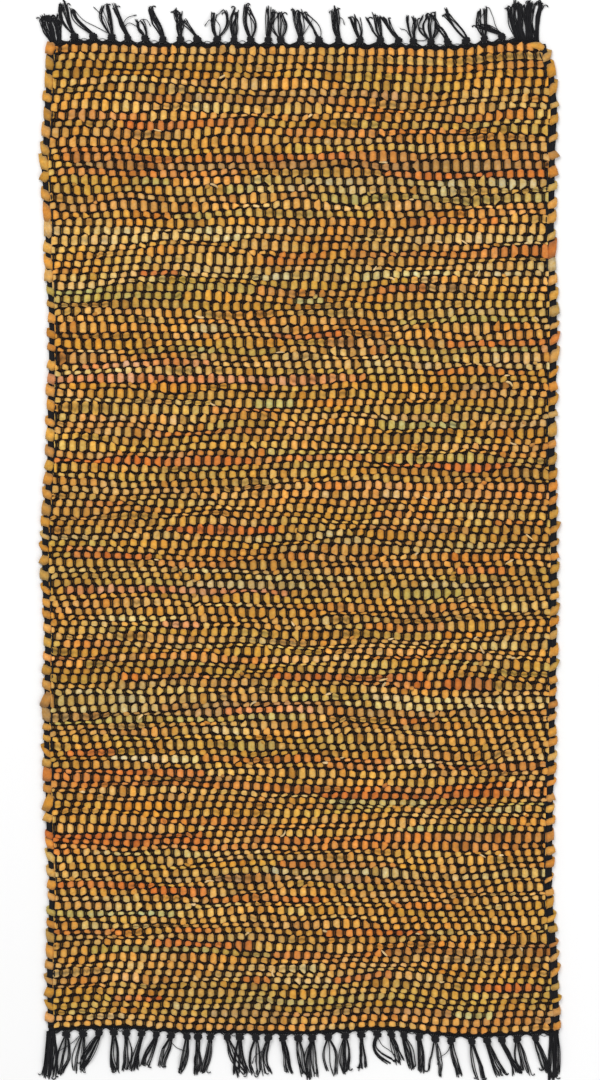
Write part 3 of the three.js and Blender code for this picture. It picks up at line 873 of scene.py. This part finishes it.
def selvedge_bundles():
    """The bundles of warp threads at both sides, pressed down where a strip turns over them."""
    heap = Heap()
    picks = np.arange(PICKS)
    y0 = plain_line(picks + 0.5)
    for side in (-1, 1):
        over = turns_over(picks, side)
        inner = side_line(y0, side) - side * SELVEDGE
        for n, place in enumerate(BUNDLE_PLACES):
            x = inner + side * place * np.where(over, 0.92, 0.84) + 0.35 * hashed(picks, 60 + n + 9 * side)
            y = (fine_line(picks, x) + fine_line(picks + 1, x)) / 2
            round_top = 1 - 0.25 * abs(place / SELVEDGE - 0.5)
            z = np.where(over, 2.6, 4.3) * round_top + 0.4 * hashed(picks, 80 + n + 9 * side)
            # The innermost thread lies on the leather, between the turns and the first floats
            if n == 0:
                x += 0.5 * hashed(picks, 30 + side)
                z = np.where(over, 5.4, 4.9)
            heap.add(round_rings(np.stack([x, y, z], -1), BUNDLE_RADIUS, 4))
    return heap.make("selvedge_bundles", COTTON)


bundles = selvedge_bundles()


def thin_weft():
    """A thin cotton weft along each line between two leather picks."""
    heap = Heap()
    per_pitch = np.arange(THREADS // PITCH_THREADS + 1) * PITCH_THREADS - 0.5
    for index in range(PICKS + 1):
        y0 = plain_line(index)
        x = thread_x(per_pitch, y0)
        y = fine_line(float(index), x)
        z = 4.25 + 0.25 * hashed(per_pitch, index)
        radius = WEFT_RADIUS * (1 + 0.15 * hashed(per_pitch + 0.5, index))
        heap.add(round_rings(np.stack([x, y, z], -1), radius, 4))
    return heap.make("thin_weft", FIELD_COTTON)


weft = thin_weft()


def make_shade_sheet():
    """A thin dark sheet between the layers of leather: painted shade that fills the slits between picks."""
    columns = 18
    index = np.arange(PICKS + 1)
    points = []
    for i in index:
        y0 = plain_line(i)
        x = np.linspace(side_line(y0, -1) + 2, side_line(y0, 1) - 2, columns)
        points.append(np.stack([x, pick_line(float(i), x), np.full(columns, SHADE_SHEET_HEIGHT)], -1))
    points = np.concatenate(points)
    j, i = np.meshgrid(np.arange(PICKS), np.arange(columns - 1), indexing="ij")
    a = j * columns + i
    quads = np.stack([a, a + columns, a + columns + 1, a + 1], -1).reshape(-1, 4)
    uv = points[quads.ravel()][:, :2] / TWIST_LENGTH
    return make_object("painted_shade_sheet", points, quads, FIELD_COTTON, maps={"Twist": uv})


shade_sheet = make_shade_sheet()


# The headings and fringes. away is 1 at the far end and -1 at the near end.
def end_of(name):
    return (1, 0) if name == "top" else (-1, PICKS)


def heading_edge(name, x):
    away, index = end_of(name)
    return fine_line(float(index), x) + away * (HEADING_GAP + HEADING_WIDTH)


def heading(name):
    """The thin picks of a heading, and its warp threads, which gather into the nearest knots."""
    away, index = end_of(name)
    rng = np.random.default_rng(SEED + 20 + index)
    heap = Heap()
    y0 = plain_line(index)
    inset = HEADING_INSET[name]
    ends = [side_line(y0, -1) + 3 + inset[0], side_line(y0, 1) - 3 - inset[1]]
    columns = np.concatenate([ends[:1], thread_x(np.arange(THREADS // 2) * 2 + 0.5, y0), ends[1:]])
    line = fine_line(float(index), columns)
    alternate = (-1) ** np.arange(len(columns))
    for j in range(HEADING_YARNS):
        y = line + away * (HEADING_FIRST + HEADING_STEP * j) + rng.normal(0, 0.12, len(columns))
        z = HEADING_LEVEL + HEADING_WAVE * alternate * (-1) ** j
        heap.add(round_rings(np.stack([columns, y, z], -1), HEADING_RADIUS, 4))
    knots, widths = np.array(TASSELS[name], float)[:, [0, 6]].T
    threads = np.concatenate([np.full(5, -1.0), np.arange(THREADS), np.full(5, THREADS)])
    for n, thread in enumerate(threads):
        x = thread_x(thread, y0) + rng.normal(0, 0.25)
        if thread in (-1.0, THREADS):
            side = -1 if thread < 0 else 1
            x = side_line(y0, side) - side * (3.5 + inset[side > 0] + 1.7 * (n % 5))
        nearest = np.argmin(np.abs(knots - x) - widths / 2)
        free = x - knots[nearest]
        kept = 0.5 if widths[nearest] else 0.15
        base = fine_line(float(index), x)
        edge = heading_edge(name, knots[nearest])
        parity = (-1) ** (round(thread) // 2)
        rows = [base + away * (HEADING_FIRST + HEADING_STEP * j) for j in range(HEADING_YARNS)]
        inside = [(x, y, HEADING_LEVEL - parity * HEADING_WAVE * (-1) ** j) for j, y in enumerate(rows)]
        start = [(x, base - away * 0.8, HEADING_LEVEL)]
        reach = 0 if widths[nearest] else KNOT_OUT + 1
        last = [
            (knots[nearest] + free * (0.35 + 0.65 * kept), edge + away * (reach / 12 - 0.8), 2.3),
            (knots[nearest] + free * kept, edge + away * reach, KNOT_LEVEL if reach else 2.3),
        ]
        heap.add(round_rings(np.array(start + inside + last), STRAND_RADIUS, 4))
    # Loops of the last heading pick stand out here and there between two knots
    for a, b in zip(knots[:-1], knots[1:]):
        if rng.random() < (0.5 if name == "top" else 0.15):
            t = np.linspace(0, 1, 7)
            x = a + (b - a) * (0.2 + 0.6 * t)
            y = heading_edge(name, x) + away * (np.sin(math.pi * t) * rng.uniform(2.5, 5) - 3.2)
            heap.add(round_rings(np.stack([x, y, np.full(7, 1.4)], -1), 0.42, 4))
    return heap.make(f"heading_{name}", COTTON)


def knot(heap, x, y, away, rng):
    """An overhand knot: a yarn wound round the gathered threads, and the threads inside it."""
    t = np.linspace(0, 1, len(KNOT_CORE))
    along = y + away * (t - 0.5) * KNOT_LENGTH * 1.15
    core = np.stack([np.full(len(t), x), along, np.full(len(t), KNOT_LEVEL)], -1)
    heap.add(round_rings(core, np.array(KNOT_CORE), 8))
    t = np.linspace(0, 1, COIL_POINTS)
    turns_round = rng.uniform(2.1, 2.8) * rng.choice([-1, 1])
    angle = TURN * (turns_round * t + rng.random())
    tilt = rng.uniform(0.4, 0.9) * rng.choice([-1, 1])
    swell = KNOT_RADIUS * rng.uniform(0.86, 1.12) * (0.8 + 0.2 * np.sin(math.pi * t))
    coil = np.stack([
        x + swell * np.cos(angle),
        y + away * (t - 0.5) * KNOT_LENGTH * 0.72 + tilt * np.cos(angle),
        KNOT_LEVEL + 0.6 * swell * np.sin(angle),
    ], -1)
    rings = round_rings(coil, COIL_RADIUS, 5, up=(0.1, 1, 0.2))
    rings[:, :, 2] = np.maximum(rings[:, :, 2], 0.05)
    heap.add(rings)


def strand(heap, root, tip, bow, sway, hook, rng):
    """A cotton strand that lies on the floor from root to tip, with a frayed or hooked end."""
    away = np.sign(tip[1] - root[1])
    t = np.linspace(0, 1, STRAND_POINTS)
    x = root[0] + (tip[0] - root[0]) * t + bow * np.sin(math.pi * t)
    x += sway[0] * t * np.sin(sway[1] + sway[2] * t)
    x += rng.uniform(0.2, 0.7) * t * noise(3.2 * t + rng.uniform(0, 90), 31)
    x += sway[3] * np.minimum(1, 2 * t) * noise(4 * t + sway[4], 57)
    y = root[1] + (tip[1] - root[1]) * t
    low = STRAND_RADIUS + rng.choice([0.0, 0.0, 1.2, 2.3])
    z = low + (root[2] - low) * (1 - t) ** 3 + 0.6 * np.sin(math.pi * t) * rng.random()
    z[-2:] = np.minimum(z[-2:], STRAND_RADIUS + 0.4)
    if hook:
        # The end turns round to one side and runs back a little
        side = np.sign(hook)
        angle = math.pi * np.arange(1, HOOK_POINTS + 1) / HOOK_POINTS * rng.uniform(0.7, 1.15)
        x = np.concatenate([x, x[-1] + hook * (1 - np.cos(angle)) + side * 0.2])
        y = np.concatenate([y, y[-1] + away * abs(hook) * np.sin(angle)])
        z = np.concatenate([z, np.full(HOOK_POINTS, STRAND_RADIUS + rng.choice([0.1, 1.3]))])
    thick = STRAND_RADIUS * rng.uniform(0.85, 1.12) * np.ones(len(x))
    thick[-2:] *= [1.3, 0.75]
    heap.add(round_rings(np.stack([x, y, z], -1), thick, 4))


def tassel(heap, row, edge, away, rng):
    """The strands of one tassel, which cling together in a few clumps."""
    x, lean, length, count, spread, bulge, wide = row
    count = round(count * MORE_STRANDS)
    clumps = max(2, round(count / 3.6))
    for c in range(clumps):
        place = (c + 0.5) / clumps - 0.5 + rng.normal(0, 0.07)
        clump_tip = x + lean + place * spread
        bow = bulge * place * 1.2 if bulge > 0 else bulge
        bow += rng.normal(0, 1.1)
        far = length * (1 + rng.normal(0, 0.05))
        sway = rng.uniform(*SWAY)
        members = range(count * c // clumps, count * (c + 1) // clumps)
        for n, i in enumerate(members):
            across = (i + 0.5) / count - 0.5
            beside = (n - (len(members) - 1) / 2) * STRAND_STEP
            root = (
                x + across * (wide * 0.85 if wide else 5.4),
                edge + away * (-3.2 if wide else KNOT_OUT + 2.4),
                rng.uniform(0.9, 4.4) if wide else KNOT_LEVEL + rng.uniform(-1.8, 1.8),
            )
            tip = (clump_tip + beside + rng.normal(0, 0.5), edge + away * far * (1 + rng.normal(0, 0.035)))
            stray = rng.random()
            extra = rng.uniform(-8, 8) if stray < 0.08 else rng.normal(0, 0.6)
            hooked = HOOKED_AT_CORNERS if wide and away > 0 else HOOKED
            hook = rng.choice([-1, 1]) * rng.uniform(*HOOK_RADIUS) if stray > 1 - hooked else 0
            if hook:
                tip = (tip[0], tip[1] - away * 3)
            strand(heap, root, tip, bow + extra, sway, hook, rng)


def curve_through(points, steps):
    """A smooth curve through a few points, with some steps to each."""
    points = np.asarray(points, float)
    before = np.concatenate([2 * points[:1] - points[1:2], points[:-1]])[:-1]
    after = np.concatenate([points[2:], 2 * points[-1:] - points[-2:-1]])
    out = []
    for a, b, c, d in zip(before, points[:-1], points[1:], after):
        for t in np.arange(steps) / steps:
            out.append(0.5 * (2 * b + (c - a) * t + (2 * a - 5 * b + 4 * c - d) * t**2
                              + (3 * b - a - 3 * c + d) * t**3))
    return np.array(out + [points[-1]])


def stray(name, points):
    """One strand that leaves its tassel, and lies on the floor or across its neighbours."""
    away, _ = end_of(name)
    path = curve_through(points, 5)
    y = heading_edge(name, path[0, 0]) + away * path[:, 1]
    z = np.maximum(2.6 + 1.4 * noise(path[:, 1] / 9, 77), STRAND_RADIUS)
    z[0] = KNOT_LEVEL
    z[-1] = STRAND_RADIUS + 0.2
    thick = np.full(len(path), 0.62)
    thick[-2:] = [0.95, 0.6]
    return round_rings(np.stack([path[:, 0], y, z], -1), thick, 4)


def fringe(name):
    """The knots of one end, and the strands of all its tassels, as two pieces."""
    away, index = end_of(name)
    rng = np.random.default_rng(SEED + 40 + index)
    knots, strands = Heap(), Heap()
    for row in TASSELS[name]:
        edge = heading_edge(name, row[0])
        if not row[-1]:
            knot(knots, row[0], edge + away * KNOT_OUT, away, rng)
        tassel(strands, row, edge, away, rng)
    for points in STRAYS[name]:
        strands.add(stray(name, points))
    return knots.make(f"knots_{name}", COTTON), strands.make(f"tassels_{name}", COTTON)


end_pieces = {name: [heading(name), *fringe(name)] for name in TASSELS}

# Camera, light and floor
PHOTO_HEIGHT = 1080
MM_PER_PIXEL = 1.367
CAMERA_HEIGHT = 4.0
CAMERA_PLACE = (-0.0007, 0.0013)  # over the photograph's middle, in metres
SENSOR = 36.0
camera_data = bpy.data.cameras.new("camera")
camera_data.sensor_width = SENSOR
camera_data.sensor_fit = "AUTO"
camera_data.lens = SENSOR * CAMERA_HEIGHT / (PHOTO_HEIGHT * MM_PER_PIXEL * MM)
camera = bpy.data.objects.new("camera", camera_data)
camera.location = (*CAMERA_PLACE, CAMERA_HEIGHT)
bpy.context.scene.collection.objects.link(camera)
bpy.context.scene.camera = camera


def area_light(name, place, size, power):
    data = bpy.data.lights.new(name, "AREA")
    data.size = size
    data.energy = power
    light = bpy.data.objects.new(name, data)
    light.location = place
    aim = -light.location
    light.rotation_euler = aim.to_track_quat("-Z", "Y").to_euler()
    bpy.context.scene.collection.objects.link(light)


area_light("key", (-1.2, 1.8, 3.2), 2.0, 70)
area_light("fill", (1.8, -1.4, 2.8), 2.5, 40)
world = bpy.data.worlds.new("studio")
world.use_nodes = True
world.node_tree.nodes["Background"].inputs["Color"].default_value = (1, 1, 1, 1)
world.node_tree.nodes["Background"].inputs["Strength"].default_value = 0.55
bpy.context.scene.world = world
bpy.context.scene.view_settings.view_transform = "Standard"

bpy.ops.mesh.primitive_plane_add(size=12, location=(0, 0, -0.0003))
floor = bpy.context.object
floor.name = "floor"
floor_material, _, floor_shader = new_material("floor")
floor_shader.inputs["Base Color"].default_value = (0.92, 0.92, 0.92, 1)
floor_shader.inputs["Roughness"].default_value = 0.9
floor.data.materials.append(floor_material)

# The pieces go on the root body, and the part's meshes that they stand for are hidden
field_pieces = [*leather_pieces, *warp_pieces, bundles, weft, shade_sheet]
for piece in field_pieces:
    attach(piece, "root")
    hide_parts("leather_field")
for name, pieces in end_pieces.items():
    for piece in pieces:
        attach(piece, "root")
        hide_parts(f"fringe_{name}")
carried = [*field_pieces, *end_pieces["top"], *end_pieces["bottom"]]
carried.remove(shade_sheet)
